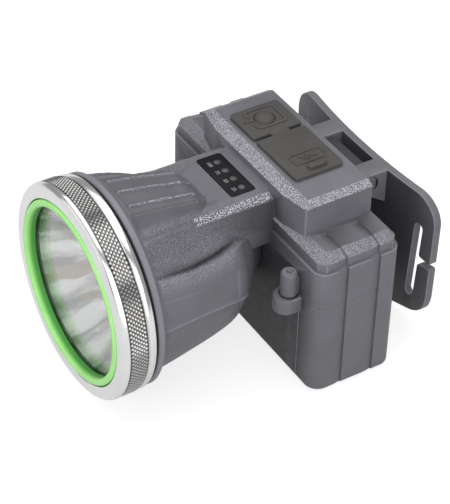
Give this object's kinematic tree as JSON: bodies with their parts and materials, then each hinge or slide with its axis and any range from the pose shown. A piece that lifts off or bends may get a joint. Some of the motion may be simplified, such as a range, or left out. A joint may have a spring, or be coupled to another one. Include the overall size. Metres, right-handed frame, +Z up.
{
  "type": "miner's cap lamp",
  "caption": "Miner's cap lamp: flared reflector head with a knurled bezel moulded onto a battery case, with a switch pad, a charging flap and a tilting strap plate",
  "frame": {"origin": "on the flat underside of the battery case, on the mid-plane of the lamp and straight below the centre line of the cells", "axes": "+Z up through the case, -Y the way the beam points, +X towards the end of the case beside the charging flap"},
  "size_m": [0.076, 0.0953, 0.06],
  "materials": {
    "housing": "satin with sparkled chamfers",
    "housing_lower": "satin",
    "plate": "satin",
    "silicone": "matte",
    "green_silicone": "soft sheen",
    "bezel": "polished, knurled rim",
    "lens": "clear",
    "mirror_coating": "vacuum coated",
    "seal": "matte",
    "smoked_window": "smooth",
    "heat_sink": "machined",
    "white_board": "solder mask",
    "emitter": "phosphor",
    "circuit_board": "solder mask",
    "steel": "zinc plated",
    "switch_black": "moulded",
    "cell_wrap": "shrink sleeve",
    "nickel": "nickel strip",
    "wire_red": "insulation",
    "wire_black": "insulation",
    "indicator": "diffusing"
  },
  "bodies": {
    "case": {"main_housing": "housing", "lower_case": "housing_lower", "case_gasket": "seal", "case_screw_left": "steel", "case_screw_right": "steel", "board_screw_front": "steel", "board_screw_rear": "steel", "battery_cell_lower": "cell_wrap", "battery_cell_upper": "cell_wrap", "cell_contact_left": "nickel", "cell_contact_right": "nickel", "main_board": "circuit_board", "usb_socket": "steel", "tact_switch": "switch_black", "gauge_window": "smoked_window", "gauge_board": "circuit_board", "gauge_light_1": "indicator", "gauge_light_2": "indicator", "gauge_light_3": "indicator", "gauge_light_4": "indicator", "led_wire_positive": "wire_red", "led_wire_negative": "wire_black", "heat_sink": "heat_sink", "led_board": "white_board", "led_emitter": "emitter", "reflector": "mirror_coating", "head_seal": "seal", "switch_pad": "silicone"},
    "lens_stack": {"lens": "lens", "lens_ring": "green_silicone"},
    "bezel": {"bezel_ring": "bezel"},
    "button": {"power_button": "silicone", "switch_plunger": "switch_black"},
    "flap": {"usb_flap": "silicone"},
    "bracket": {"head_bracket": "plate", "pivot_screw": "steel", "pivot_nut": "steel"}
  },
  "joints": [
    {"name": "plate_tilt", "type": "hinge", "parent": "case", "child": "bracket", "pos_m": [0, 0.0201, 0.0418], "axis": [1, 0, 0], "range_deg": [-10, 90]},
    {"name": "button_press", "type": "slide", "parent": "case", "child": "button", "axis": [0, 0, -1], "range_m": [0, 0.0005], "stiffness_N_per_m": 3000},
    {"name": "flap_open", "type": "hinge", "parent": "case", "child": "flap", "pos_m": [-0.0041, 0.00255, 0.0546], "axis": [0, -1, 0], "range_deg": [0, 110], "stiffness_Nm_per_rad": 0.008},
    {"name": "bezel_travel", "type": "slide", "parent": "case", "child": "lens_stack", "axis": [0, -1, 0], "range_m": [0, 0.00375]},
    {"name": "bezel_turn", "type": "hinge", "parent": "lens_stack", "child": "bezel", "pos_m": [0, -0.0552, 0.03], "axis": [0, -1, 0], "range_deg": [0, 900]}
  ],
  "couplings": [
    {"joint": "bezel_travel", "follows": "bezel_turn", "m_per_rad": 0.00023873}
  ]
}
